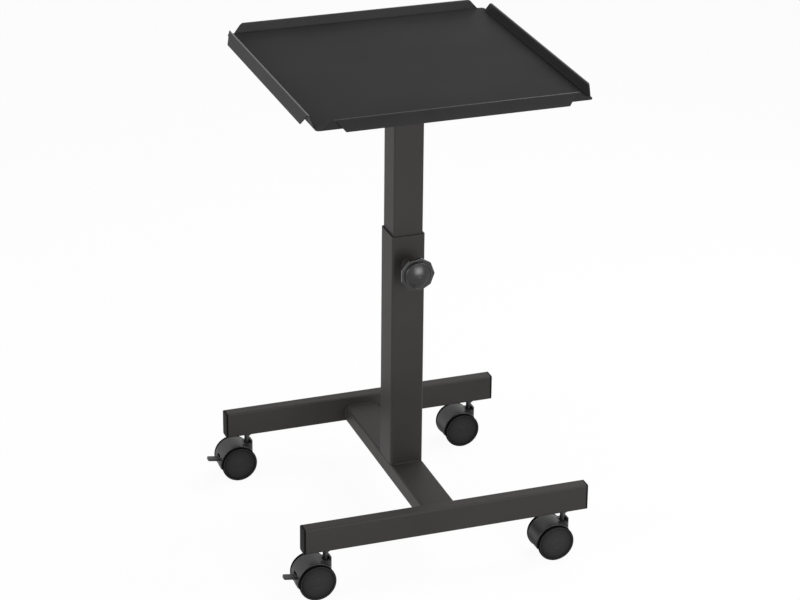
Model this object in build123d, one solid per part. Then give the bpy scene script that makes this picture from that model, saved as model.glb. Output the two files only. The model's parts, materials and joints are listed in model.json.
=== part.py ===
from build123d import *
import os
from math import cos, radians, sin

# A rolling projector stand: an H-shaped base of steel tube on four twin-wheel casters,
# a square telescopic column locked by a knob, and a folded sheet-metal tray on top.
# X runs along the legs, Y goes to the back and Z is up. The column is modelled on the Z axis, and the
# whole stand is then moved along X so that the origin is on the floor at the middle of its footprint.
# All sizes are in millimetres.

# Legs, cross tube and their end caps
leg_length = 428.0          # tube only, without the caps
leg_height = 40.0
leg_depth = 20.0
leg_wall = 1.5
leg_corner = 3.0
base_depth = 406.0          # over the outer faces of both legs
cross_width = 50.0
cross_height = 25.0
cross_wall = 1.5
cross_corner = 3.0
cap_lip = 3.0
cap_plug = 14.0
cap_plug_wall = 2.0
cap_edge = 1.0              # rounding of the cap's outer face

# Column
outer_side = 50.0
outer_wall = 2.0
outer_corner = 4.0
outer_length = 365.0
inner_side = 45.0
inner_wall = 1.5
inner_corner = 3.0
inner_length = 350.0
tray_height = 708.0         # top of the tray's floor above the ground, as photographed

# Tray, one folded sheet
sheet = 1.5
tray_width = 396.0          # between the left and right folds
tray_depth = 415.0          # between the front and back folds
tray_corner = 5.0
rim_rise = 13.5             # fold to ridge
rim_lean = 3.5
skirt_drop = 16.0           # ridge to free edge
skirt_flare = 7.5
ridge_swell = 0.03          # how far the ridge's bend stands out of the flat sheet
tab_base_inset = 9.0        # tab ends, measured from the floor's corner
tab_ridge_inset = 23.0
tab_edge_inset = 38.0
mount_plate_side = 140.0
mount_plate_thick = 3.0
mount_plate_corner = 12.0

# Clamp on the column
clamp_below_top = 45.0
clamp_boss_d = 20.0
clamp_boss_length = 9.0
clamp_screw_d = 10.0
clamp_tip_gap = 0.3         # screw tip to inner tube
clamp_wall_clearance = 0.5
knob_gap = 1.0              # boss to knob
knob_d = 51.2               # over the corners of the grip
knob_sides = 9
knob_corner = 2.0
knob_rim = 5.0
knob_edge = 0.9
knob_neck_d = 20.0          # at the boss
knob_neck_end_d = 30.0      # where it meets the grip
knob_neck_length = 24.5
knob_waist_d = 38.5         # button on the grip's front, where it leaves the grip
knob_ring_d = 40.0          # ring round the button's dome
knob_ring_width = 1.6
knob_button_rise = 3.5      # grip to ring
knob_button_edge = 0.8
knob_dome_step = 0.6        # the dome starts this far below the ring
knob_dome_rise = 5.5
knob_screw_depth = 16.0

# Casters
wheel_d = 55.0
wheel_width = 12.0
wheel_flange = 5.0          # width of the tread, which stands outside the hood
wheel_shoulder = 1.6
wheel_rim = 4.0             # wall of the drum inside the hood
wheel_disc = 3.0
wheel_hub_d = 15.0
wheel_face_ring = 1.4       # flat ring round the disc's groove
wheel_groove = 1.0
wheel_groove_width = 1.2
wheel_disc_swell = 0.7      # how far the disc's middle stands out beyond its edge
wheel_gap = 1.0             # wheel to hood and to hub
axle_d = 6.0
caster_trail = 18.5
caster_from_end = 32.0      # stem axis to the leg tube's end
leg_clear = 68.0            # floor to the underside of the legs
hood_d = 56.0
hood_wall = 2.5
hood_cheek = 3.5            # depth of the hood's side lips
hood_edge = 1.2
hood_from = 38.0            # angles about the axle, up from the +X side
hood_to = 196.0
hub_width = 22.0
web_from = 8.0
web_thick = 6.0
boss_length = 14.5          # along the caster; as wide as the hub
boss_corner = 6.0
boss_low = 34.0
boss_gap = 12.5             # stem collar to boss
boss_cup_d = 11.0           # open cup round the stem, at the boss's top
boss_cup_depth = 4.0
boss_lug_rise = 3.5         # lug that stands up on the leading side of the cup
boss_lug_width = 2.4
stem_d = 8.0
stem_collar_d = 13.0
stem_collar = 2.5
stem_in_leg = 24.0
stem_in_boss = 14.0
run_clearance = 0.05        # radial, pins in their holes

# Brake lever of the two left casters
lever_slot_from = 158.0     # the hood's slot for the lever runs from here to its end
lever_slot_clearance = 0.8
lever_slot_past = 8.0       # the slot's cut runs on past the hood's end by this angle
lever_from = 166.0
lever_to = 208.0
lever_wall = 3.0
lever_pivot_r = 20.0        # pivot from the axle
lever_pivot_angle = 174.0
lever_pin_d = 4.0
lever_eye_d = 9.0
lever_arm_width = 6.5       # web's arm to the pivot pin
lever_arm_thick = 4.0
lever_cheek = 2.4
lever_side_clearance = 0.4
paddle_reach = 44.8         # axle to the paddle's tip
paddle_width = 11.0
paddle_thick = 3.4
paddle_rise = 8.0           # upward slope of the paddle, in degrees
paddle_corner = 2.5

leg_y = (base_depth - leg_depth) / 2
stem_x = leg_length / 2 - caster_from_end
cross_top = leg_clear + cross_height
column_top = cross_top + outer_length
inner_top = tray_height - sheet - mount_plate_thick
clamp_z = column_top - clamp_below_top
column_face = -outer_side / 2
wheel_r = wheel_d / 2
hood_r = hood_d / 2
hood_width = hub_width + 2 * (wheel_width - wheel_flange)
axle_x = -caster_trail
boss_top = leg_clear - stem_collar - boss_gap
left_reach = stem_x + caster_trail + paddle_reach
right_reach = leg_length / 2 + cap_lip
footprint_shift = (left_reach - right_reach) / 2


def square_tube(plane, width, height, wall, corner, length):
    outer = RectangleRounded(width, height, corner)
    inner = RectangleRounded(width - 2 * wall, height - 2 * wall, corner - wall)
    return extrude(plane * (outer - inner), amount=length)


def upright(x, y, z):
    return Plane(origin=(x, y, z), x_dir=(1, 0, 0), z_dir=(0, 0, 1))


def along_x(x, y, z):
    return Plane(origin=(x, y, z), x_dir=(0, 1, 0), z_dir=(1, 0, 0))


def towards_front(x, y, z):
    return Plane(origin=(x, y, z), x_dir=(1, 0, 0), z_dir=(0, -1, 0))


def leg(side):
    # The tube has a hole in its underside for each caster stem.
    mid_z = leg_clear + leg_height / 2
    body = square_tube(along_x(-leg_length / 2, side * leg_y, mid_z),
                       leg_depth, leg_height, leg_wall, leg_corner, leg_length)
    for x in (-stem_x, stem_x):
        body -= Pos(x, side * leg_y, leg_clear) * Cylinder(stem_d / 2 + run_clearance, 4 * leg_wall)
    return body


def leg_cap(end, side):
    # A lip with rounded edges covers the tube's end, and a hollow plug sits inside it.
    mid_z = leg_clear + leg_height / 2
    seat = Plane(origin=(end * leg_length / 2, side * leg_y, mid_z), x_dir=(0, 1, 0), z_dir=(end, 0, 0))
    lip = extrude(seat * RectangleRounded(leg_depth, leg_height, leg_corner), amount=cap_lip)
    lip = fillet(lip.faces().sort_by(Axis.X)[-1 if end > 0 else 0].edges(), cap_edge)
    inset = 2 * (leg_wall + run_clearance)
    plug = RectangleRounded(leg_depth - inset, leg_height - inset, leg_corner - leg_wall)
    wall = inset + 2 * cap_plug_wall
    plug -= Rectangle(leg_depth - wall, leg_height - wall)
    return lip + extrude(seat * plug, amount=-cap_plug)


def cross_tube():
    length = base_depth - 2 * leg_depth
    return square_tube(towards_front(0, length / 2, leg_clear + cross_height / 2),
                       cross_width, cross_height, cross_wall, cross_corner, length)


def outer_column():
    body = square_tube(upright(0, 0, cross_top),
                       outer_side, outer_side, outer_wall, outer_corner, outer_length)
    hole = Circle(clamp_screw_d / 2 + clamp_wall_clearance)
    return body - extrude(towards_front(0, column_face, clamp_z) * hole, amount=-2 * outer_wall)


def inner_column():
    bottom = inner_top - inner_length
    return square_tube(upright(0, 0, bottom), inner_side, inner_side, inner_wall, inner_corner, inner_length)


def mounting_plate():
    outline = RectangleRounded(mount_plate_side, mount_plate_side, mount_plate_corner)
    return extrude(upright(0, 0, inner_top) * outline, amount=mount_plate_thick)


def rim_panel(near, far, near_half, far_half):
    # A flat trapezoid of sheet between two fold lines, given as (out, up) points of the rim's section.
    run, rise = far[0] - near[0], far[1] - near[1]
    reach = (run ** 2 + rise ** 2) ** 0.5
    outline = Polygon((-near_half, 0), (near_half, 0), (far_half, reach), (-far_half, reach), align=None)
    face = Plane(origin=(0, near[0], near[1]), x_dir=(1, 0, 0), z_dir=(0, -rise, run))
    return extrude(face * outline, amount=sheet / 2, both=True)


def tray_rim(half_side, half_across):
    # Each side's tab is folded up from the floor, then back down over the outside, with slanted ends.
    floor_mid = tray_height - sheet / 2
    fold = (half_across, floor_mid)
    ridge = (half_across + rim_lean, floor_mid + rim_rise)
    edge = (ridge[0] + skirt_flare, ridge[1] - skirt_drop)
    base_half = half_side - tab_base_inset
    ridge_half = half_side - tab_ridge_inset
    edge_half = half_side - tab_edge_inset
    wall = rim_panel(fold, ridge, base_half, ridge_half)
    skirt = rim_panel(ridge, edge, ridge_half, edge_half)
    bend = Pos(0, ridge[0], ridge[1]) * Rot(0, 90, 0) * Cylinder(sheet / 2 + ridge_swell, 2 * ridge_half)
    return wall + skirt + bend


def tray():
    outline = RectangleRounded(tray_width + sheet, tray_depth + sheet, tray_corner)
    body = extrude(upright(0, 0, tray_height - sheet) * outline, amount=sheet)
    sides = ((0, tray_width, tray_depth), (90, tray_depth, tray_width),
             (180, tray_width, tray_depth), (270, tray_depth, tray_width))
    for turn, side, across in sides:
        body += Rot(0, 0, turn) * tray_rim(side / 2, across / 2)
    return body


def clamp_boss():
    ring = Circle(clamp_boss_d / 2) - Circle(clamp_screw_d / 2 + run_clearance)
    return extrude(towards_front(0, column_face, clamp_z) * ring, amount=clamp_boss_length)


def clamp_screw():
    tip_y = -inner_side / 2 - clamp_tip_gap
    knob_back = column_face - clamp_boss_length - knob_gap
    length = tip_y - knob_back + knob_screw_depth
    shank = extrude(towards_front(0, tip_y, clamp_z) * Circle(clamp_screw_d / 2), amount=length)
    return chamfer(shank.edges().sort_by(Axis.Y)[-1], clamp_screw_d / 8)


def knob_button(front):
    # Turned about the screw's axis: a flared wall, a rounded ring and a dome that starts just below it.
    # The section has local x out from the axis and local y towards the front.
    ring = knob_ring_d / 2
    dome = ring - knob_ring_width
    foot = knob_button_rise - knob_dome_step
    top = foot + knob_dome_rise
    ball = (dome ** 2 + knob_dome_rise ** 2) / (2 * knob_dome_rise)
    midway = dome / 2, top - ball + (ball ** 2 - dome ** 2 / 4) ** 0.5
    wall = Polyline((0, top), (0, -knob_rim / 2), (knob_waist_d / 2, -knob_rim / 2), (knob_waist_d / 2, 0),
                    (ring, knob_button_rise - knob_button_edge))
    edge = Line((ring, knob_button_rise - knob_button_edge), (ring - knob_button_edge, knob_button_rise))
    face = Polyline((ring - knob_button_edge, knob_button_rise), (dome, knob_button_rise), (dome, foot))
    swell = ThreePointArc((dome, foot), midway, (0, top))
    plane = Plane(origin=(0, front, clamp_z), x_dir=(1, 0, 0), z_dir=(0, 0, -1))
    return revolve(plane * make_face([wall, edge, face, swell]), Axis((0, front, clamp_z), (0, 1, 0)), 360)


def knob():
    # Flared neck, many-sided grip, domed button on its front, blind hole for the screw.
    back = column_face - clamp_boss_length - knob_gap
    flare = [Pos(0, 0, lift) * Circle(size / 2)
             for lift, size in ((0, knob_neck_d), (knob_neck_length, knob_neck_end_d))]
    neck = towards_front(0, back, clamp_z).location * loft(flare)
    grip = RegularPolygon(knob_d / 2, knob_sides)
    grip = fillet(grip.vertices(), knob_corner)
    front = back - knob_neck_length - knob_rim
    rim = extrude(towards_front(0, front + knob_rim, clamp_z) * grip, amount=knob_rim)
    rim = fillet(rim.faces().sort_by(Axis.Y)[0].edges(), knob_edge)
    rim = fillet(rim.faces().sort_by(Axis.Y)[-1].edges(), knob_edge)
    bore = Circle(clamp_screw_d / 2 + run_clearance / 2)
    bore = extrude(towards_front(0, back, clamp_z) * bore, amount=knob_screw_depth)
    return neck + rim + knob_button(front) - bore


def polar(radius, angle):
    # A point of the caster's side view, about the axle.
    return axle_x + radius * cos(radians(angle)), wheel_r + radius * sin(radians(angle))


def side_plane(y):
    # Side view of a caster: local x is X and local y is Z, drawn at the given Y and extruded to the front.
    return Plane(origin=(0, y, 0), x_dir=(1, 0, 0), z_dir=(0, -1, 0))


def turned_about_axle(section, start, end):
    # The section is drawn in the plane of the axle, with local x out from it and local y along it.
    axle_line = Axis((axle_x, 0, wheel_r), (0, -1, 0))
    across = Plane(origin=(axle_x, 0, wheel_r), x_dir=(cos(radians(start)), 0, sin(radians(start))),
                   z_dir=(sin(radians(start)), 0, -cos(radians(start))))
    return revolve(across * section, axle_line, end - start)


def pie(radius, start, end, thick):
    # A sector of a disc about the axle, centred on the caster's middle plane.
    middle = radius, (start + end) / 2
    outline = [Line((axle_x, wheel_r), polar(radius, start)),
               ThreePointArc(polar(radius, start), polar(*middle), polar(radius, end)),
               Line(polar(radius, end), (axle_x, wheel_r))]
    return extrude(side_plane(thick / 2) * make_face(outline), amount=thick)


def channel(width, cheek):
    # Section of the hood or lever: an arch of even wall with side lips turned towards the axle.
    outer = Pos(hood_r - cheek / 2, 0) * Rectangle(cheek, width)
    outer = fillet(outer.vertices().group_by(Axis.X)[-1], hood_edge)
    hollow = Pos(hood_r - hood_wall - cheek / 2, 0) * Rectangle(cheek, width - 2 * hood_wall)
    return outer - hollow


def stem_boss():
    # A block as wide as the hub, with a lug that stands up on its leading side.
    block = RectangleRounded(boss_length, hub_width, boss_corner)
    lug = block & Pos(boss_length / 2, 0) * Rectangle(2 * boss_lug_width, hub_width)
    solid = extrude(upright(0, 0, boss_low) * block, amount=boss_top - boss_low)
    return solid + extrude(upright(0, 0, boss_top) * lug, amount=boss_lug_rise)


def stem_socket():
    # The open cup at the boss's top and the bore for the stem.
    cup = extrude(upright(0, 0, boss_top) * Circle(boss_cup_d / 2), amount=-boss_cup_depth)
    bore = Circle(stem_d / 2 + run_clearance)
    return cup + extrude(upright(0, 0, boss_top) * bore, amount=-stem_in_boss - run_clearance)


def lever_seat(pivot):
    # The web's arm and the pin on it, which carry the brake lever.
    arm = SlotCenterToCenter(lever_pivot_r, lever_arm_width)
    arm = Pos(*polar(lever_pivot_r / 2, lever_pivot_angle)) * Rot(0, 0, lever_pivot_angle) * arm
    pin_reach = lever_arm_thick / 2 + lever_side_clearance + lever_cheek
    pin = extrude(side_plane(0) * (Pos(*pivot) * Circle(lever_pin_d / 2)), amount=pin_reach, both=True)
    return extrude(side_plane(lever_arm_thick / 2) * arm, amount=lever_arm_thick) + pin


def caster_body(braked):
    # A moulded hood on a central web, with a hub for the axle and a boss that turns on the stem.
    # On a braked caster the hood is slotted for the lever.
    body = turned_about_axle(channel(hood_width, hood_cheek), hood_from, hood_to)
    web_to = hood_to
    if braked:
        web_to = lever_slot_from
        slot = Rectangle(2 * hood_cheek, paddle_width + 2 * lever_slot_clearance)
        body -= turned_about_axle(Pos(hood_r, 0) * slot, lever_slot_from, hood_to + lever_slot_past)
        body += lever_seat(polar(lever_pivot_r, lever_pivot_angle))
    body += pie(hood_r - hood_wall / 2, web_from, web_to, web_thick)
    hub = Pos(axle_x, wheel_r) * Circle(wheel_hub_d / 2)
    body += extrude(side_plane(hub_width / 2) * hub, amount=hub_width)
    body += stem_boss()
    axle_bore = Pos(axle_x, wheel_r) * Circle(axle_d / 2 + run_clearance / 2)
    return body - stem_socket() - extrude(side_plane(hood_width) * axle_bore, amount=2 * hood_width)


def caster_stem():
    # Pin pressed up into the leg, with a collar under it and its lower end in the boss.
    collar = extrude(upright(0, 0, leg_clear) * Circle(stem_collar_d / 2), amount=-stem_collar)
    low = boss_top - stem_in_boss
    pin = extrude(upright(0, 0, low) * Circle(stem_d / 2), amount=leg_clear + stem_in_leg - low)
    return collar + pin


def caster_axle():
    reach = hub_width / 2 + wheel_width - wheel_disc
    pin = Pos(axle_x, wheel_r) * Circle(axle_d / 2)
    return extrude(side_plane(0) * pin, amount=reach, both=True)


def caster_wheel(side):
    # A cup turned about the axle: a drum inside the hood, a tread flange outside it, a closed and slightly
    # swelled outer disc, and a blind hub.
    inner = hub_width / 2 + wheel_gap
    outer = inner + wheel_width
    bore = axle_d / 2 + run_clearance
    hub = wheel_hub_d / 2
    drum = hood_r - hood_cheek - wheel_gap
    flange = outer - wheel_flange
    disc = outer - wheel_disc
    shoulder = wheel_r - wheel_shoulder
    groove = shoulder - wheel_face_ring
    disc_edge = groove - wheel_groove_width
    drum_wall = drum - wheel_rim
    back = Polyline((bore, inner), (hub, inner), (hub, disc), (drum_wall, disc), (drum_wall, inner),
                    (drum, inner), (drum, flange), (shoulder, flange))
    inner_round = TangentArc((shoulder, flange), (wheel_r, flange + wheel_shoulder), tangent=(1, 0))
    tread = Line((wheel_r, flange + wheel_shoulder), (wheel_r, outer - wheel_shoulder))
    outer_round = TangentArc((wheel_r, outer - wheel_shoulder), (shoulder, outer), tangent=(0, 1))
    groove_mid = groove - wheel_groove_width / 2
    face = Polyline((shoulder, outer), (groove, outer), (groove_mid, outer - wheel_groove),
                    (disc_edge, outer - wheel_disc_swell))
    ball = (disc_edge ** 2 + wheel_disc_swell ** 2) / (2 * wheel_disc_swell)
    midway = disc_edge / 2, outer - ball + (ball ** 2 - disc_edge ** 2 / 4) ** 0.5
    swell = ThreePointArc((disc_edge, outer - wheel_disc_swell), midway, (0, outer))
    blind = Polyline((0, outer), (0, disc), (bore, disc), (bore, inner))
    section = make_face([back, inner_round, tread, outer_round, face, swell, blind])
    plane = Plane(origin=(axle_x, 0, wheel_r), x_dir=(1, 0, 0), z_dir=(0, 0, side))
    return revolve(plane * section, Axis((axle_x, 0, wheel_r), (0, 1, 0)), 360)


def brake_lever():
    # A drum-shaped foot lever that straddles the web: arch, two cheeks on the pivot pin, and a paddle.
    arch = Pos(hood_r - lever_wall / 2, 0) * Rectangle(lever_wall, paddle_width)
    body = turned_about_axle(arch, lever_from, lever_to)
    pivot = polar(lever_pivot_r, lever_pivot_angle)
    cheek_low = lever_pivot_r - lever_eye_d / 2
    cheek_depth = hood_r - lever_wall / 2 - cheek_low
    cheek_mid = (lever_arm_thick + lever_cheek) / 2 + lever_side_clearance
    for side in (-1, 1):
        cheek = Pos(cheek_low + cheek_depth / 2, side * cheek_mid) * Rectangle(cheek_depth, lever_cheek)
        body += turned_about_axle(cheek, lever_from, lever_to)
        eye = Pos(*pivot) * Circle(lever_eye_d / 2)
        body += extrude(side_plane(side * cheek_mid + lever_cheek / 2) * eye, amount=lever_cheek)
    root_x, root_z = polar(hood_r - lever_wall / 2, lever_from)
    root_z -= paddle_thick / 2
    slope = radians(paddle_rise)
    length = (root_x - axle_x + paddle_reach - paddle_thick * sin(slope)) / cos(slope)
    blade = Pos(length / 2, 0) * Rectangle(length, paddle_width)
    blade = fillet(blade.vertices().group_by(Axis.X)[-1], paddle_corner)
    lie = Plane(origin=(root_x, 0, root_z), x_dir=(-cos(slope), 0, sin(slope)),
                z_dir=(sin(slope), 0, cos(slope)))
    body += extrude(lie * blade, amount=-paddle_thick)
    pin = Pos(*pivot) * Circle(lever_pin_d / 2 + run_clearance)
    return body - extrude(side_plane(0) * pin, amount=paddle_width, both=True)


def save(name, solid):
    export_step(Pos(footprint_shift, 0, 0) * solid, os.path.join("parts", name + ".step"))


os.makedirs("parts", exist_ok=True)

save("cross_tube", cross_tube())
for side_name, side in (("front", -1), ("back", 1)):
    save(side_name + "_leg", leg(side))
    for end_name, end in (("left", -1), ("right", 1)):
        save(side_name + "_leg_cap_" + end_name, leg_cap(end, side))

save("outer_column", outer_column())
save("inner_column", inner_column())
save("tray_mounting_plate", mounting_plate())
save("tray", tray())
save("clamp_boss", clamp_boss())
save("clamp_screw", clamp_screw())
save("knob", knob())

for side_name, side in (("front", -1), ("back", 1)):
    for end_name, end in (("left", -1), ("right", 1)):
        place = Pos(end * stem_x, side * leg_y, 0)
        corner = side_name + "_" + end_name
        braked = end_name == "left"
        save(corner + "_caster_stem", place * caster_stem())
        save(corner + "_caster_body", place * caster_body(braked))
        save(corner + "_caster_axle", place * caster_axle())
        save(corner + "_wheel_front", place * caster_wheel(-1))
        save(corner + "_wheel_back", place * caster_wheel(1))
        if braked:
            save(corner + "_brake_lever", place * brake_lever())
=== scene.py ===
import json
import math
import bmesh
import bpy
import numpy as np
from mathutils import Matrix, Vector


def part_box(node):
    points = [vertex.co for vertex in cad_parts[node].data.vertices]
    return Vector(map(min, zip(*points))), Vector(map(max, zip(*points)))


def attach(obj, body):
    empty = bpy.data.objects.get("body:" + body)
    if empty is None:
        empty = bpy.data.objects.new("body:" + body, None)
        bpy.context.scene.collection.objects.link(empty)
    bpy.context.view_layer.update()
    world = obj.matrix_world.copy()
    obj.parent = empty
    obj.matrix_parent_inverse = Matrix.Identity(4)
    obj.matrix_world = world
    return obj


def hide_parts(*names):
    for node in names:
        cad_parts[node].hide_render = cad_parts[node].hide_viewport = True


# rolling projector stand, dressed around its CAD frame; all lengths in metres
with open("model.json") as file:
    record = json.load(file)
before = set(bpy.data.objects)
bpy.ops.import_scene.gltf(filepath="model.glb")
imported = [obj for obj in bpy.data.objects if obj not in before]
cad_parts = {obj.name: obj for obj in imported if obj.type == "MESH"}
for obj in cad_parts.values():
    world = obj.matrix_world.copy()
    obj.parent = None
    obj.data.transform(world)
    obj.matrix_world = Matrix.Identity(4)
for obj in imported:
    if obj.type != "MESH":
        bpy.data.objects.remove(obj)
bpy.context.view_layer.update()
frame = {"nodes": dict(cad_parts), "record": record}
nodes = frame["nodes"]
record = frame["record"]
slotOf = {entry["node"]: entry["material_slot"] for entry in record["subparts"]}
bodyOf = {node: body for body, members in record["behaviour"]["bodies"].items() for node in members}
print("frame loaded:", len(nodes), "nodes")


# camera at the photo's view, solved from the stand's straight edges
photoView = {
    "place": (-1.27747, -3.57464, 2.04304),
    "yaw": -0.345785,
    "pitch": 0.419749,
    "roll": 0.009917,
    "focalPixels": 2857.53,
    "imageWidth": 800.0,
    "sensorWidth": 36.0,
    "clip": (0.05, 100.0),
}


def addCamera(look):
    # forward from yaw and pitch, then right and up turned by the roll
    yaw, pitch, roll = look["yaw"], look["pitch"], look["roll"]
    ahead = Vector((-math.sin(yaw) * math.cos(pitch), math.cos(yaw) * math.cos(pitch), -math.sin(pitch)))
    level = Vector((math.cos(yaw), math.sin(yaw), 0.0))
    above = level.cross(ahead)
    right = level * math.cos(roll) + above * math.sin(roll)
    up = above * math.cos(roll) - level * math.sin(roll)
    data = bpy.data.cameras.new("photoCamera")
    data.sensor_width = look["sensorWidth"]
    data.lens = look["sensorWidth"] * look["focalPixels"] / look["imageWidth"]
    data.clip_start, data.clip_end = look["clip"]
    camera = bpy.data.objects.new("photoCamera", data)
    turn = Matrix((right, up, -ahead)).transposed().to_4x4()
    camera.matrix_world = Matrix.Translation(Vector(look["place"])) @ turn
    bpy.context.collection.objects.link(camera)
    bpy.context.scene.camera = camera


addCamera(photoView)
print("camera placed")


# node helpers
def addNode(tree, kind, **settings):
    node = tree.nodes.new(kind)
    for name, value in settings.items():
        setattr(node, name, value)
    return node


def wire(tree, source, target):
    tree.links.new(source, target)


def mathNode(tree, operation, first, second=None, clamp=False):
    node = addNode(tree, "ShaderNodeMath", operation=operation, use_clamp=clamp)
    for socket, value in zip(node.inputs, (first, second)):
        if value is None:
            continue
        if isinstance(value, (int, float)):
            socket.default_value = value
        else:
            wire(tree, value, socket)
    return node.outputs[0]


def mapNode(tree, value, low, high, toLow, toHigh):
    node = addNode(tree, "ShaderNodeMapRange", clamp=True)
    wire(tree, value, node.inputs["Value"])
    for name, number in (("From Min", low), ("From Max", high), ("To Min", toLow), ("To Max", toHigh)):
        node.inputs[name].default_value = number
    return node.outputs["Result"]


def mixColour(tree, factor, first, second):
    # on a colour mix, input 0 is the factor, 6 and 7 are the two colours, and output 2 is the result
    node = addNode(tree, "ShaderNodeMix", data_type="RGBA")
    wire(tree, factor, node.inputs[0])
    for socket, value in ((node.inputs[6], first), (node.inputs[7], second)):
        if isinstance(value, tuple):
            socket.default_value = (*value, 1.0)
        else:
            wire(tree, value, socket)
    return node.outputs[2]


def objectNoise(tree, scale, detail):
    # noise in the piece's own coordinates
    place = addNode(tree, "ShaderNodeTexCoord")
    noise = addNode(tree, "ShaderNodeTexNoise")
    noise.inputs["Detail"].default_value = detail
    wire(tree, place.outputs["Object"], noise.inputs["Vector"])
    wire(tree, scale, noise.inputs["Scale"])
    return noise.outputs["Fac"]


def newGroup(name, inputs, outputs):
    group = bpy.data.node_groups.new(name, "ShaderNodeTree")
    for label, value in inputs.items():
        socket = group.interface.new_socket(label, in_out="INPUT", socket_type="NodeSocketFloat")
        socket.default_value = value
    for label, kind in outputs.items():
        group.interface.new_socket(label, in_out="OUTPUT", socket_type="NodeSocket" + kind)
    return group, group.nodes.new("NodeGroupInput"), group.nodes.new("NodeGroupOutput")


# effects that the finishes share: a span is the range of noise, turn or upward slope that a mask grows over
effects = {
    "grainDetail": 2.0,
    "mottleDetail": 3.0,
    "mottleSpan": (0.3, 0.7),
    "bumpStrength": 0.5,
    "edgeSamples": 4,
    "edgeTurnSpan": (0.02, 0.2),
    "edgeDetail": 2.0,
    "edgeSpan": (0.35, 0.65),
    "edgeLeast": 0.25,
    "dustUpwardSpan": (0.5, 1.0),
    "dustDetail": 4.0,
    "dustSpan": (0.3, 0.7),
    "dustLeast": 0.4,
    "dustRough": 0.5,
}


def makeGrainGroup(look):
    # fine skin of a powder coat or moulding, and a slow mottle over a hand's breadth
    group, inlet, outlet = newGroup("surfaceGrain", {"cells": 900.0, "patches": 7.0},
                                    {"height": "Float", "mottle": "Float"})
    fine = objectNoise(group, inlet.outputs["cells"], look["grainDetail"])
    slow = objectNoise(group, inlet.outputs["patches"], look["mottleDetail"])
    wire(group, fine, outlet.inputs["height"])
    wire(group, mapNode(group, slow, *look["mottleSpan"], 0.0, 1.0), outlet.inputs["mottle"])
    return group


def makeEdgeGroup(look):
    # how far the rounded normal turns away from the flat one, broken up by noise; the rounded normal too
    group, inlet, outlet = newGroup("rubbedEdgesAndPaintedHighlight", {"reach": 0.0012, "strength": 1.0, "breakUp": 90.0},
                                    {"mask": "Float", "normal": "Vector"})
    bevel = addNode(group, "ShaderNodeBevel", samples=look["edgeSamples"])
    wire(group, inlet.outputs["reach"], bevel.inputs["Radius"])
    flat = addNode(group, "ShaderNodeNewGeometry")
    dot = addNode(group, "ShaderNodeVectorMath", operation="DOT_PRODUCT")
    wire(group, bevel.outputs["Normal"], dot.inputs[0])
    wire(group, flat.outputs["Normal"], dot.inputs[1])
    turn = mathNode(group, "SUBTRACT", 1.0, dot.outputs["Value"])
    edge = mapNode(group, turn, *look["edgeTurnSpan"], 0.0, 1.0)
    noise = objectNoise(group, inlet.outputs["breakUp"], look["edgeDetail"])
    patchy = mapNode(group, noise, *look["edgeSpan"], look["edgeLeast"], 1.0)
    worn = mathNode(group, "MULTIPLY", edge, patchy)
    mask = mathNode(group, "MULTIPLY", worn, inlet.outputs["strength"], clamp=True)
    wire(group, mask, outlet.inputs["mask"])
    wire(group, bevel.outputs["Normal"], outlet.inputs["normal"])
    return group


def makeDustGroup(look):
    # a thin veil on faces that look up, thicker in slow patches
    group, inlet, outlet = newGroup("settledDust", {"amount": 0.1, "patches": 14.0}, {"mask": "Float"})
    facing = addNode(group, "ShaderNodeNewGeometry")
    parts = addNode(group, "ShaderNodeSeparateXYZ")
    wire(group, facing.outputs["Normal"], parts.inputs[0])
    upward = mapNode(group, parts.outputs["Z"], *look["dustUpwardSpan"], 0.0, 1.0)
    noise = objectNoise(group, inlet.outputs["patches"], look["dustDetail"])
    patchy = mapNode(group, noise, *look["dustSpan"], look["dustLeast"], 1.0)
    veil = mathNode(group, "MULTIPLY", upward, patchy)
    mask = mathNode(group, "MULTIPLY", veil, inlet.outputs["amount"], clamp=True)
    wire(group, mask, outlet.inputs["mask"])
    return group


grainGroup = makeGrainGroup(effects)
edgeGroup = makeEdgeGroup(effects)
dustGroup = makeDustGroup(effects)


def placeGroup(tree, group, **values):
    node = addNode(tree, "ShaderNodeGroup", node_tree=group)
    for label, value in values.items():
        node.inputs[label].default_value = value
    return node


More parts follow.
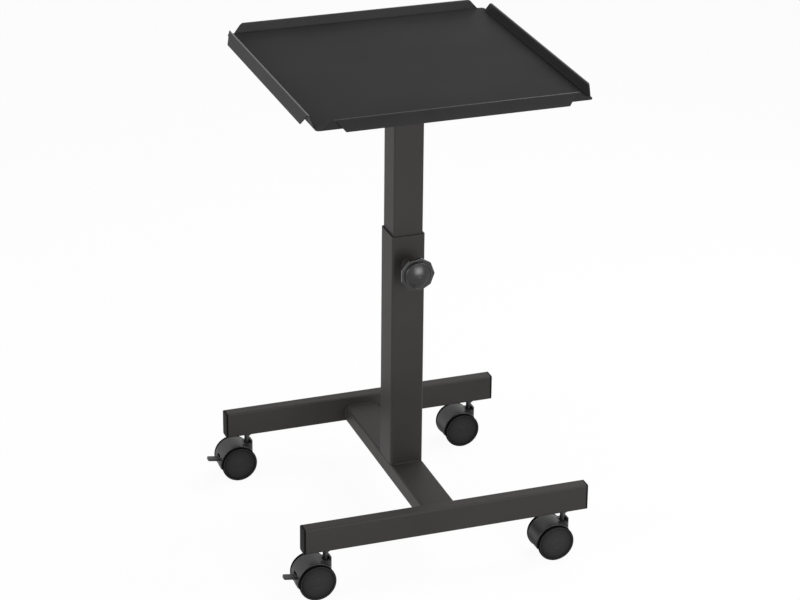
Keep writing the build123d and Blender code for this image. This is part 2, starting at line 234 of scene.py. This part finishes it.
# finishes: colours are linear, lengths in metres, grain in cells per metre
finishes = {
    "frame_paint": {
        "dark": (0.0215, 0.0193, 0.0186), "light": (0.0272, 0.0247, 0.0239),
        "edge": (0.060, 0.057, 0.055), "dust": (0.10, 0.095, 0.09),
        "rough": (0.46, 0.56), "specular": 0.16, "metallic": 0.0, "cells": 950.0, "depth": 0.00006,
        "edgeReach": 0.0010, "edgeStrength": 0.35, "dustAmount": 0.06,
    },
    "tray_paint": {
        "dark": (0.0225, 0.0215, 0.0217), "light": (0.0285, 0.0273, 0.0276),
        "edge": (0.075, 0.073, 0.073), "dust": (0.10, 0.096, 0.093),
        "rough": (0.32, 0.40), "specular": 0.009, "metallic": 0.0, "cells": 1100.0, "depth": 0.00005,
        "edgeReach": 0.0008, "edgeStrength": 0.5, "dustAmount": 0.02,
        "polishMark": "ridgePolish", "polishRough": 0.22,
    },
    "cap_plastic": {
        "dark": (0.0040, 0.0040, 0.0038), "light": (0.0065, 0.0065, 0.0062),
        "edge": (0.02, 0.02, 0.02), "dust": (0.08, 0.078, 0.075),
        "rough": (0.42, 0.55), "specular": 0.03, "metallic": 0.0, "cells": 1500.0, "depth": 0.00004,
        "edgeReach": 0.0008, "edgeStrength": 0.3, "dustAmount": 0.04,
    },
    "knob_plastic": {
        "dark": (0.0030, 0.0030, 0.0031), "light": (0.0045, 0.0045, 0.0046),
        # the light edge colour here is partly wear and partly a painted edge highlight
        "edge": (0.06, 0.06, 0.06), "dust": (0.09, 0.088, 0.085),
        "rough": (0.29, 0.35), "specular": 0.52, "metallic": 0.0, "cells": 1400.0, "depth": 0.00004,
        "edgeReach": 0.0007, "edgeStrength": 0.6, "dustAmount": 0.04,
    },
    "caster_plastic": {
        "dark": (0.0110, 0.0110, 0.0110), "light": (0.0160, 0.0160, 0.0159),
        "edge": (0.06, 0.06, 0.06), "dust": (0.10, 0.097, 0.093),
        "rough": (0.32, 0.40), "specular": 0.03, "metallic": 0.0, "cells": 1300.0, "depth": 0.00005,
        "edgeReach": 0.0006, "edgeStrength": 0.35, "dustAmount": 0.08,
        # painted shade near the floor: below these heights the hood takes the dark colour that follows,
        # standing in for the shade under it and inside its open end
        "paintedShadeHeights": (0.027, 0.037), "paintedShadeColour": (0.0025, 0.0025, 0.0025),
        "polishPeak": 0.62, "polishRough": 0.34,
    },
    "lever_plastic": {
        "dark": (0.0150, 0.0150, 0.0150), "light": (0.0220, 0.0220, 0.0219),
        "edge": (0.06, 0.06, 0.06), "dust": (0.12, 0.117, 0.113),
        "rough": (0.36, 0.48), "specular": 0.35, "metallic": 0.0, "cells": 1300.0, "depth": 0.00005,
        "edgeReach": 0.0006, "edgeStrength": 0.5, "dustAmount": 0.10,
    },
    "wheel_plastic": {
        "dark": (0.0160, 0.0160, 0.0160), "light": (0.0245, 0.0245, 0.0244),
        # the light edge colour here is partly wear and partly a painted edge highlight
        "edge": (0.06, 0.06, 0.059), "dust": (0.10, 0.096, 0.090),
        "rough": (0.40, 0.52), "specular": 0.02, "metallic": 0.0, "cells": 1600.0, "depth": 0.00005,
        "edgeReach": 0.0005, "edgeStrength": 0.6, "dustAmount": 0.05,
        # the marked colour is the dark tread, plus painted shade towards the disc's edge and in its groove
        "ringMark": "treadAndPaintedShade", "ring": (0.0020, 0.0020, 0.0020), "ringRough": 0.85,
        "polishPeak": 0.16, "polishRough": 0.45,
    },
    "steel": {
        "dark": (0.045, 0.045, 0.045), "light": (0.080, 0.080, 0.079),
        "edge": (0.16, 0.16, 0.158), "dust": (0.12, 0.115, 0.11),
        "rough": (0.30, 0.42), "specular": 0.5, "metallic": 1.0, "cells": 2200.0, "depth": 0.00003,
        "edgeReach": 0.0005, "edgeStrength": 0.4, "dustAmount": 0.04,
    },
}


def makeFinish(name, look):
    # colour is mottle, rubbed edges that on some finishes are also a painted edge highlight, dust, then a
    # finish's own marks; grain bumps the rounded normal
    material = bpy.data.materials.new(name)
    material.use_nodes = True
    tree = material.node_tree
    tree.nodes.clear()
    shader = addNode(tree, "ShaderNodeBsdfPrincipled")
    output = addNode(tree, "ShaderNodeOutputMaterial")
    wire(tree, shader.outputs[0], output.inputs["Surface"])
    grain = placeGroup(tree, grainGroup, cells=look["cells"])
    rubbedAndHighlit = placeGroup(tree, edgeGroup, reach=look["edgeReach"], strength=look["edgeStrength"])
    dusty = placeGroup(tree, dustGroup, amount=look["dustAmount"])
    colour = mixColour(tree, grain.outputs["mottle"], look["dark"], look["light"])
    smooth, coarse = look["rough"]
    rough = mapNode(tree, grain.outputs["mottle"], 0.0, 1.0, smooth, coarse)
    # edges lighten as wear, and on the knob and the wheels also as a painted edge highlight
    colour = mixColour(tree, rubbedAndHighlit.outputs["mask"], colour, look["edge"])
    colour = mixColour(tree, dusty.outputs["mask"], colour, look["dust"])
    # the mark is the dark tread, and towards the disc's edge and in its groove it is painted shade
    if "ringMark" in look:  # dark and dull where the mesh is marked, polished elsewhere
        ring = addNode(tree, "ShaderNodeAttribute", attribute_name=look["ringMark"]).outputs["Fac"]
        colour = mixColour(tree, ring, colour, look["ring"])
        rough = mathNode(tree, "MAXIMUM", rough, mathNode(tree, "MULTIPLY", ring, look["ringRough"]))
        wire(tree, mapNode(tree, ring, 0.0, 1.0, look["polishPeak"], 0.0), shader.inputs["Coat Weight"])
    # painted shade: the hood darkens towards the floor where shade falls under it; the coat goes only on the
    # part above
    if "paintedShadeHeights" in look:  # dark and dull near the floor, smoother above
        place = addNode(tree, "ShaderNodeTexCoord")
        parts = addNode(tree, "ShaderNodeSeparateXYZ")
        wire(tree, place.outputs["Object"], parts.inputs[0])
        unshaded = mapNode(tree, parts.outputs["Z"], *look["paintedShadeHeights"], 0.0, 1.0)
        colour = mixColour(tree, mathNode(tree, "SUBTRACT", 1.0, unshaded), colour, look["paintedShadeColour"])
        wire(tree, mathNode(tree, "MULTIPLY", unshaded, look["polishPeak"]), shader.inputs["Coat Weight"])
    if "polishMark" in look:  # polished as much as the mesh is marked
        mark = addNode(tree, "ShaderNodeAttribute", attribute_name=look["polishMark"])
        wire(tree, mark.outputs["Fac"], shader.inputs["Coat Weight"])
    if "polishRough" in look:
        shader.inputs["Coat Roughness"].default_value = look["polishRough"]
    wire(tree, colour, shader.inputs["Base Color"])
    dustRough = mathNode(tree, "MULTIPLY", dusty.outputs["mask"], effects["dustRough"])
    wire(tree, mathNode(tree, "ADD", rough, dustRough, clamp=True), shader.inputs["Roughness"])
    bump = addNode(tree, "ShaderNodeBump")
    bump.inputs["Strength"].default_value = effects["bumpStrength"]
    bump.inputs["Distance"].default_value = look["depth"]
    wire(tree, grain.outputs["height"], bump.inputs["Height"])
    wire(tree, rubbedAndHighlit.outputs["normal"], bump.inputs["Normal"])
    wire(tree, bump.outputs["Normal"], shader.inputs["Normal"])
    shader.inputs["Specular IOR Level"].default_value = look["specular"]
    shader.inputs["Metallic"].default_value = look["metallic"]
    return material


materials = {slot: makeFinish(slot, look) for slot, look in finishes.items()}
for nodeName, piece in nodes.items():
    piece.data.materials.clear()
    piece.data.materials.append(materials[slotOf[nodeName]])
print("finishes made:", len(materials))


# mesh helpers
def gridFaces(rows, columns, wrapRows):
    # quads of a grid whose columns close on themselves, and whose rows do where asked
    index = np.arange(rows * columns).reshape(rows, columns)
    index = np.hstack((index, index[:, :1]))
    if wrapRows:
        index = np.vstack((index, index[:1]))
    return np.stack((index[:-1, :-1], index[:-1, 1:], index[1:, 1:], index[1:, :-1]), axis=-1).reshape(-1, 4)


def gridPiece(name, grids, wrapRows=False, sharpAngle=35.0, mergeDistance=1e-6, marks=None):
    # one closed mesh from grids of points; poles and seams are merged
    points, faces, start = [], [], 0
    for grid in grids:
        rows, columns = grid.shape[:2]
        points.append(grid.reshape(-1, 3))
        faces.append(gridFaces(rows, columns, wrapRows) + start)
        start += rows * columns
    mesh = bpy.data.meshes.new(name)
    mesh.from_pydata(np.concatenate(points).tolist(), [], np.concatenate(faces).tolist())
    for label, values in (marks or {}).items():
        mark = mesh.attributes.new(label, "FLOAT", "POINT")
        mark.data.foreach_set("value", values.astype(np.float32).ravel())
    shell = bmesh.new()
    shell.from_mesh(mesh)
    bmesh.ops.remove_doubles(shell, verts=shell.verts, dist=mergeDistance)
    bmesh.ops.recalc_face_normals(shell, faces=shell.faces)
    shell.to_mesh(mesh)
    shell.free()
    mesh.polygons.foreach_set("use_smooth", np.ones(len(mesh.polygons), dtype=bool))
    mesh.set_sharp_from_angle(angle=math.radians(sharpAngle))
    piece = bpy.data.objects.new(name, mesh)
    bpy.context.collection.objects.link(piece)
    return piece


def dress(piece, body, slot, node=None):
    # the piece's finish, the body that it rides on and the node that it stands in for, if any
    piece.data.materials.append(materials[slot])
    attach(piece, body)
    if node:
        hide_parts(node)


def fullTurn(columns):
    # even angles round a circle, each once
    return np.linspace(0.0, 2 * np.pi, columns, endpoint=False)


def turnedGrid(radius, along, columns):
    # rows of radii, one for all columns or one for each, round the Y axis: (r cos a, along, r sin a)
    angle = fullTurn(columns)
    along = along[:, None] * np.ones(columns)
    return np.stack((radius * np.cos(angle), along, radius * np.sin(angle)), axis=-1)


# tray: one folded sheet, with the soft bends that a press brake leaves
trayShape = {
    "width": 0.396,
    "depth": 0.415,
    "sheet": 0.0015,
    "corner": 0.005,
    "cornerSteps": 7,
    "rise": 0.0135,
    "lean": 0.0035,
    "drop": 0.016,
    "flare": 0.00745,
    "insets": (0.009, 0.023, 0.038),
    "foldRadius": 0.0022,
    "ridgeRadius": 0.0011,
    "ridgeLift": 0.00255,
    "bendSteps": 9,
    "polish": {  # on the wall, the ridge and the skirt of each side
        "back": (0.06, 0.8, 0.15),
        "left": (0.06, 1.0, 0.24),
        "front": (0.06, 0.6, 0.03),
        "right": (0.06, 0.7, 0.15),
    },
}


def roundedPath(corners, radii, steps):
    # straight runs joined by arcs, each touching its runs at radius * tan(turn / 2) from the corner
    runs = [corners[0][None]]
    reach = np.concatenate(([0.0], np.cumsum(np.linalg.norm(np.diff(corners, axis=0), axis=1))))
    places = [np.array([0.0])]
    for index, radius in enumerate(radii, start=1):
        before = corners[index] - corners[index - 1]
        after = corners[index + 1] - corners[index]
        before = before / np.linalg.norm(before)
        after = after / np.linalg.norm(after)
        turn = math.atan2(before[0] * after[1] - before[1] * after[0], before @ after)
        back = radius * math.tan(abs(turn) / 2)
        side = np.array((-before[1], before[0])) * math.copysign(1.0, turn)
        centre = corners[index] - before * back + side * radius
        sweep = np.linspace(0.0, turn, steps)
        spoke = -side * radius
        arc = np.stack((spoke[0] * np.cos(sweep) - spoke[1] * np.sin(sweep),
                        spoke[0] * np.sin(sweep) + spoke[1] * np.cos(sweep)), axis=-1)
        runs.append(centre + arc)
        places.append(np.linspace(reach[index] - back, reach[index] + back, steps))
    runs.append(corners[-1][None])
    places.append(reach[-1:])
    return np.concatenate(runs), np.concatenate(places), reach


def rimGrid(shape, halfSide, halfAcross, floorMid, polishLevels):
    # the rim's section as a thin closed loop, carried along its side; it gets shorter from fold to edge
    start = np.array((halfAcross - 2 * shape["foldRadius"], floorMid))
    fold = np.array((halfAcross, floorMid))
    ridge = fold + np.array((shape["lean"], shape["rise"] + shape["ridgeLift"]))
    edge = ridge + np.array((shape["flare"], -shape["drop"] - shape["ridgeLift"]))
    steps = shape["bendSteps"]
    path, place, reach = roundedPath(np.array((start, fold, ridge, edge)),
                                     (shape["foldRadius"], shape["ridgeRadius"]), steps)
    heading = np.gradient(path, axis=0)
    heading /= np.linalg.norm(heading, axis=1)[:, None]
    outward = np.stack((-heading[:, 1], heading[:, 0]), axis=-1) * shape["sheet"] / 2
    loop = np.concatenate((path + outward, (path - outward)[::-1]))
    middle = np.concatenate((path, path[::-1]))
    halves = halfSide - np.interp(place, reach, (shape["insets"][0],) + shape["insets"])
    halves = np.concatenate((halves, halves[::-1]))
    rows = []
    for along, section in ((-1.0, middle), (-1.0, loop), (0.0, loop), (1.0, loop), (1.0, middle)):
        rows.append(np.stack((along * halves, section[:, 0], section[:, 1]), axis=-1))
    # polish of the upper face: none on the floor, even up the wall, then over the ridge bend to the skirt
    wall, crest, skirt = polishLevels
    levels = (0.0, wall, wall, crest, crest, skirt)
    bend = np.linspace(place[1 + steps], place[2 * steps], len(levels) - 2)
    polish = np.interp(place, (place[1], place[steps], *bend), levels)
    polish = np.concatenate((polish, np.zeros(len(path))))
    return np.stack(rows), np.tile(polish, len(rows))


def turnedAboutZ(grid, quarter):
    # whole quarter turns: (x cos q - y sin q, x sin q + y cos q, z)
    cosine, sine = ((1, 0), (0, 1), (-1, 0), (0, -1))[quarter]
    x, y = grid[..., 0], grid[..., 1]
    return np.stack((cosine * x - sine * y, sine * x + cosine * y, grid[..., 2]), axis=-1)


def floorGrid(shape, top):
    # rounded rectangle outline, shrunk to its middle above and below
    halfX = (shape["width"] + shape["sheet"]) / 2
    halfY = (shape["depth"] + shape["sheet"]) / 2
    corner = shape["corner"]
    angle = np.linspace(0.0, np.pi / 2, shape["cornerSteps"])
    arcs = []
    for quarter, (signX, signY) in enumerate(((1, 1), (-1, 1), (-1, -1), (1, -1))):
        turn = angle + quarter * np.pi / 2
        arcs.append(np.stack((signX * (halfX - corner) + corner * np.cos(turn),
                              signY * (halfY - corner) + corner * np.sin(turn)), axis=-1))
    outline = np.concatenate(arcs)
    under = top - shape["sheet"]
    rows = []
    for scale, height in ((0.0, top), (0.5, top), (1.0, top), (1.0, under), (0.5, under), (0.0, under)):
        rows.append(np.column_stack((outline * scale, np.full(len(outline), height))))
    return np.stack(rows)


def makeTray(shape):
    # the floor and four rims, set about the point that the record gives for things to stand on
    middleX, middleY, top = record["mounts"][0]["pos_m"]
    floorMid = top - shape["sheet"] / 2
    sides = (shape["width"], shape["depth"])
    grids = [floorGrid(shape, top)]
    polish = [np.zeros(grids[0].shape[0] * grids[0].shape[1])]
    for quarter, polishLevels in enumerate(shape["polish"].values()):
        side, across = sides[quarter % 2], sides[1 - quarter % 2]
        rim, rimPolish = rimGrid(shape, side / 2, across / 2, floorMid, polishLevels)
        grids.append(turnedAboutZ(rim, quarter))
        polish.append(rimPolish)
    shift = np.array((middleX, middleY, 0.0))
    marks = {"ridgePolish": np.concatenate(polish)}
    piece = gridPiece("traySheet", [grid + shift for grid in grids], marks=marks)
    dress(piece, "upper", "tray_paint", "tray")


makeTray(trayShape)
print("tray folded")


# caster wheels: turned profile with a swelled disc, a centre ring, a groove and a dark tread
wheelShape = {
    "flange": 0.005,
    "shoulder": 0.0016,
    "shoulderRows": 7,
    "faceRing": 0.0014,
    "groove": 0.0010,
    "grooveWidth": 0.0012,
    "grooveStart": 0.15,
    "grooveRows": 8,
    "swell": 0.0012,
    "discRows": 44,
    "hubRing": 0.0075,
    "hubCut": 0.0004,
    "hubCutWidth": 0.0007,
    "rimShade": 0.45,
    "rimShadePower": 3,
    "drumStep": 0.004,
    "drumWall": 0.004,
    "disc": 0.003,
    "hub": 0.0075,
    "bore": 0.00305,
    "columns": 96,
}


def wheelProfile(shape, radius, width):
    # radius and depth from the outer face, from the disc's middle round the tread to the blind bore
    shoulder = radius - shape["shoulder"]
    groove = shoulder - shape["faceRing"]
    discEdge = groove - shape["grooveWidth"]
    # disc depth, with s from middle to edge: swell s^2 + hubCut exp(-((r - hubRing) / hubCutWidth)^2)
    share = np.linspace(0.0, 1.0, shape["discRows"])
    ringCut = shape["hubCut"] * np.exp(-((discEdge * share - shape["hubRing"]) / shape["hubCutWidth"]) ** 2)
    disc = np.stack((discEdge * share, shape["swell"] * share ** 2 + ringCut), axis=-1)
    # groove depth, with s across its width: swell (1 - s) + groove sin(pi s)
    share = np.linspace(shape["grooveStart"], 1.0, shape["grooveRows"])
    cut = np.stack((discEdge + shape["grooveWidth"] * share,
                    shape["swell"] * (1 - share) + shape["groove"] * np.sin(np.pi * share)), axis=-1)
    turn = np.linspace(0.0, np.pi / 2, shape["shoulderRows"])
    outerRound = np.stack((shoulder + shape["shoulder"] * np.sin(turn),
                           shape["shoulder"] * (1 - np.cos(turn))), axis=-1)
    innerRound = np.stack((outerRound[::-1, 0], shape["flange"] - outerRound[::-1, 1]), axis=-1)
    drum = radius - shape["drumStep"]
    wall = drum - shape["drumWall"]
    inside = np.array(((drum, shape["flange"]), (drum, width), (wall, width), (wall, shape["disc"]),
                       (shape["hub"], shape["disc"]), (shape["hub"], width), (shape["bore"], width),
                       (shape["bore"], shape["disc"]), (0.0, shape["disc"])))
    profile = np.concatenate((disc, cut, outerRound, innerRound, inside))
    # tread and painted shade mark: the disc darkens towards its edge as painted shade, rimShade
    # s^rimShadePower, the groove gets painted shade at rimShade, and the tread is dark
    ring = np.zeros(len(profile))
    ring[:len(disc)] = shape["rimShade"] * (disc[:, 0] / discEdge) ** shape["rimShadePower"]
    ring[len(disc):len(disc) + len(cut)] = shape["rimShade"]
    ring[len(disc) + len(cut) + 1:len(profile) - len(inside)] = 1.0
    return profile[:, 0], profile[:, 1], ring


def makeWheels(shape):
    # each wheel takes its size and place from its node, and its disc looks away from the caster's middle
    for node in [name for name, slot in slotOf.items() if slot == "wheel_plastic"]:
        low, high = (np.array(corner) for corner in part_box(node))
        radius, depth, ring = wheelProfile(shape, (high[2] - low[2]) / 2, high[1] - low[1])
        axleLow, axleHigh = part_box(node.rsplit("_wheel", 1)[0] + "_caster_axle")
        nearFront = low[1] + high[1] < axleLow[1] + axleHigh[1]
        along = low[1] + depth if nearFront else high[1] - depth
        grid = turnedGrid(radius[:, None], along, shape["columns"])
        grid = grid + np.array(((low[0] + high[0]) / 2, 0.0, (low[2] + high[2]) / 2))
        marks = {"treadAndPaintedShade": np.repeat(ring, shape["columns"])}
        piece = gridPiece(node + "_turned", [grid], marks=marks)
        dress(piece, bodyOf[node], "wheel_plastic", node)


makeWheels(wheelShape)
print("wheels turned")


# clamp screw with its thread
screwShape = {
    "pitch": 0.0015,
    "threadDepth": 0.0009,
    "flankSlope": 1.3,
    "crestFlat": 0.15,
    "rowsPerTurn": 12,
    "columns": 48,
    "tipTaper": 0.0012,
}


def makeScrew(shape):
    # outside radius less depth times a clipped triangle wave of (turns along the axis less turns round it)
    low, high = (np.array(corner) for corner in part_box("clamp_screw"))
    outside = (high[2] - low[2]) / 2
    length = high[1] - low[1]
    along = np.linspace(0.0, length, int(length / shape["pitch"] * shape["rowsPerTurn"]))
    phase = (along[:, None] / shape["pitch"] - fullTurn(shape["columns"]) / (2 * np.pi)) % 1.0
    wave = np.clip(shape["flankSlope"] * (1 - np.abs(2 * phase - 1)) - shape["crestFlat"], 0.0, 1.0)
    taper = shape["tipTaper"] * np.clip(1 - (length - along) / shape["tipTaper"], 0.0, 1.0)
    radius = outside - shape["threadDepth"] * wave - taper[:, None]
    axis = np.zeros(shape["columns"])
    radius = np.vstack((axis, radius, axis))
    along = np.concatenate((along[:1], along, along[-1:])) + low[1]
    grid = turnedGrid(radius, along, shape["columns"])
    grid = grid + np.array(((low[0] + high[0]) / 2, 0.0, (low[2] + high[2]) / 2))
    piece = gridPiece("clampScrewThread", [grid])
    dress(piece, "clamp", "steel", "clamp_screw")


makeScrew(screwShape)
print("screw threaded")


# fillet welds where the tubes meet, painted over
weldShape = {
    "radius": 0.0015,
    "ripple": 0.10,
    "step": 0.0024,
    "endInset": 0.004,
    "endPower": 16,
    "columns": 12,
    "rowsPerStep": 6,
}


def beadGrid(shape, path, across, above, closed):
    # ring of ripple-swelled radius round each point of the path: point + r (cos a across + sin a above)
    count = len(path)
    span = np.linalg.norm(np.diff(path, axis=0), axis=1).sum()
    place = np.linspace(0.0, 1.0, count, endpoint=not closed)
    ripples = max(1, round(span / shape["step"]))
    radius = shape["radius"] * (1 + shape["ripple"] * np.sin(2 * np.pi * ripples * place))
    if not closed:  # ends drawn in: r sqrt(1 - (2 p - 1)^endPower)
        radius = radius * np.sqrt(np.clip(1 - (2 * place - 1) ** shape["endPower"], 0.0, 1.0))
    angle = fullTurn(shape["columns"])
    ring = np.cos(angle)[None, :, None] * across[:, None] + np.sin(angle)[None, :, None] * above[:, None]
    return path[:, None] + radius[:, None, None] * ring


def straightBead(shape, start, end, across, above):
    # bead along start + (end - start) p, with p from 0 to 1
    start, end = np.array(start), np.array(end)
    count = int(np.linalg.norm(end - start) / shape["step"] * shape["rowsPerStep"])
    place = np.linspace(0.0, 1.0, count)[:, None]
    path = start + (end - start) * place
    full = np.ones((count, 1))
    return beadGrid(shape, path, full * np.array(across, float), full * np.array(above, float), False)


def makeWelds(shape):
    # straight beads stop short of the tubes' rounded corners; the boss has a closed one
    across, up, out = (1.0, 0.0, 0.0), (0.0, 0.0, 1.0), (0.0, 1.0, 0.0)
    columnLow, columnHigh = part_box("outer_column")
    crossLow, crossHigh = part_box("cross_tube")
    innerLow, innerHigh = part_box("inner_column")
    bossLow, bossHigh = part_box("clamp_boss")
    inset = shape["endInset"]
    frameBeads = []
    for y in (columnLow[1], columnHigh[1]):  # column foot, on the cross tube
        frameBeads.append(straightBead(shape, (columnLow[0] + inset, y, columnLow[2]),
                                       (columnHigh[0] - inset, y, columnLow[2]), out, up))
    for y in (crossLow[1], crossHigh[1]):  # cross tube's ends, on the legs
        frameBeads.append(straightBead(shape, (crossLow[0] + inset, y, crossHigh[2]),
                                       (crossHigh[0] - inset, y, crossHigh[2]), out, up))
        for x in (crossLow[0], crossHigh[0]):
            frameBeads.append(straightBead(shape, (x, y, crossLow[2] + inset),
                                           (x, y, crossHigh[2] - inset), across, out))
    dress(gridPiece("frameWelds", frameBeads), "base", "frame_paint")
    trayBeads = []
    for x in (innerLow[0], innerHigh[0]):  # inner column, under its plate
        trayBeads.append(straightBead(shape, (x, innerLow[1] + inset, innerHigh[2]),
                                      (x, innerHigh[1] - inset, innerHigh[2]), across, up))
    for y in (innerLow[1], innerHigh[1]):
        trayBeads.append(straightBead(shape, (innerLow[0] + inset, y, innerHigh[2]),
                                      (innerHigh[0] - inset, y, innerHigh[2]), out, up))
    dress(gridPiece("plateWelds", trayBeads), "upper", "frame_paint")
    bossWidth = bossHigh[0] - bossLow[0]
    count = int(math.pi * bossWidth / shape["step"]) * shape["rowsPerStep"]
    angle = fullTurn(count)
    spoke = np.stack((np.cos(angle), np.zeros(count), np.sin(angle)), axis=-1)
    centre = np.array(((bossLow[0] + bossHigh[0]) / 2, bossHigh[1], (bossLow[2] + bossHigh[2]) / 2))
    path = centre + spoke * bossWidth / 2
    ring = beadGrid(shape, path, spoke, np.tile(np.array(out), (count, 1)), True)
    dress(gridPiece("bossWeld", [ring], wrapRows=True), "base", "frame_paint")


makeWelds(weldShape)
print("welds laid")


# hex bolts that hold the tray's plate, seen from below
boltShape = {
    "flats": 0.010,
    "height": 0.0046,
    "flange": 0.0068,
    "flangeHeight": 0.0012,
    "footShare": 0.6,
    "rootFlare": 1.04,
    "rootStep": 0.0002,
    "chamfer": 0.0007,
    "topShare": 0.97,
    "fromEdge": 0.018,
    "columns": 48,
}


def makeBolts(shape):
    # hexagon radius = half flats / cos(angle from the nearest flat), coned at its top, on a round flange
    low, high = (np.array(corner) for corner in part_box("tray_mounting_plate"))
    angle = fullTurn(shape["columns"])
    hexagon = shape["flats"] / 2 / np.cos((angle + np.pi / 6) % (np.pi / 3) - np.pi / 6)
    circle = np.ones(shape["columns"])
    axis, flange = circle * 0.0, circle * shape["flange"]
    crown = np.minimum(hexagon, shape["flats"] / 2) * shape["topShare"]
    rim, top = shape["flangeHeight"], shape["height"]
    rows = ((0.0, axis), (0.0, flange), (rim * shape["footShare"], flange),
            (rim, hexagon * shape["rootFlare"]), (rim + shape["rootStep"], hexagon),
            (top - shape["chamfer"], hexagon), (top, crown), (top, axis))
    drop = np.array([row[0] for row in rows])
    radius = np.stack([row[1] for row in rows])
    grids = []
    for x in (low[0] + shape["fromEdge"], high[0] - shape["fromEdge"]):
        for y in (low[1] + shape["fromEdge"], high[1] - shape["fromEdge"]):
            grids.append(np.stack((x + radius * np.cos(angle), y + radius * np.sin(angle),
                                   (low[2] - drop)[:, None] * circle), axis=-1))
    dress(gridPiece("plateBolts", grids), "upper", "steel")


makeBolts(boltShape)
print("bolts set")


# floor, world and studio lights
studio = {
    "floorHalf": 30.0,
    "floorColour": (0.86, 0.86, 0.86, 1.0),
    "floorGlow": 0.94,
    "glowStrength": 1.0,
    "backColour": (1.0, 1.0, 1.0, 1.0),
    "ambient": 0.40,
    "lamps": {
        "keySoftbox": {"place": (-3.2, -0.8, 1.4), "aim": (0.0, 0.0, 0.45), "size": 2.0, "power": 74.0},
        "frontSoftbox": {"place": (0.85, -3.55, 0.88), "aim": (0.0, 0.0, 0.42), "size": 2.1, "power": 98.0},
        "topSoftbox": {"place": (1.1, 0.3, 1.7), "aim": (0.0, 0.0, 0.5), "size": 1.2, "power": 22.0},
    },
}


def seenRays(tree):
    # 1 on rays that show the backdrop, straight, reflected or through a clear piece; 0 on lighting rays
    path = addNode(tree, "ShaderNodeLightPath")
    seen = mathNode(tree, "MAXIMUM", path.outputs["Is Camera Ray"], path.outputs["Is Glossy Ray"])
    return mathNode(tree, "MAXIMUM", seen, path.outputs["Is Transmission Ray"])


def addFloor(look):
    # matte to lighting rays and nearly white to seen ones
    half = look["floorHalf"]
    corners = [(-half, -half, 0), (half, -half, 0), (half, half, 0), (-half, half, 0)]
    mesh = bpy.data.meshes.new("studioFloor")
    mesh.from_pydata(corners, [], [(0, 1, 2, 3)])
    floor = bpy.data.objects.new("studioFloor", mesh)
    bpy.context.collection.objects.link(floor)
    material = bpy.data.materials.new("studioFloor")
    material.use_nodes = True
    tree = material.node_tree
    tree.nodes.clear()
    matte = addNode(tree, "ShaderNodeBsdfDiffuse")
    matte.inputs["Color"].default_value = look["floorColour"]
    glow = addNode(tree, "ShaderNodeEmission")
    glow.inputs["Strength"].default_value = look["glowStrength"]
    blend = addNode(tree, "ShaderNodeMixShader")
    wire(tree, mathNode(tree, "MULTIPLY", seenRays(tree), look["floorGlow"]), blend.inputs[0])
    wire(tree, matte.outputs[0], blend.inputs[1])
    wire(tree, glow.outputs[0], blend.inputs[2])
    clear = addNode(tree, "ShaderNodeBsdfTransparent")
    facing = addNode(tree, "ShaderNodeNewGeometry")
    oneSided = addNode(tree, "ShaderNodeMixShader")  # seen from below the floor lets the view through
    wire(tree, facing.outputs["Backfacing"], oneSided.inputs[0])
    wire(tree, blend.outputs[0], oneSided.inputs[1])
    wire(tree, clear.outputs[0], oneSided.inputs[2])
    output = addNode(tree, "ShaderNodeOutputMaterial")
    wire(tree, oneSided.outputs[0], output.inputs["Surface"])
    mesh.materials.append(material)


def addWorld(look):
    # white where it is seen, and dimmer where it only lights
    world = bpy.data.worlds.new("studioWorld")
    bpy.context.scene.world = world
    world.use_nodes = True
    tree = world.node_tree
    tree.nodes.clear()
    back = addNode(tree, "ShaderNodeBackground")
    wire(tree, mapNode(tree, seenRays(tree), 0.0, 1.0, look["ambient"], 1.0), back.inputs["Strength"])
    back.inputs["Color"].default_value = look["backColour"]
    output = addNode(tree, "ShaderNodeOutputWorld")
    wire(tree, back.outputs[0], output.inputs["Surface"])


def addLamp(name, lamp):
    data = bpy.data.lights.new(name, "AREA")
    data.energy = lamp["power"]
    data.size = lamp["size"]
    light = bpy.data.objects.new(name, data)
    towards = Vector(lamp["aim"]) - Vector(lamp["place"])
    light.rotation_euler = towards.to_track_quat("-Z", "Y").to_euler()
    light.location = lamp["place"]
    bpy.context.collection.objects.link(light)


addFloor(studio)
addWorld(studio)
for lampName, lamp in studio["lamps"].items():
    addLamp(lampName, lamp)
bpy.context.scene.view_settings.view_transform = "Standard"
print("studio lit")
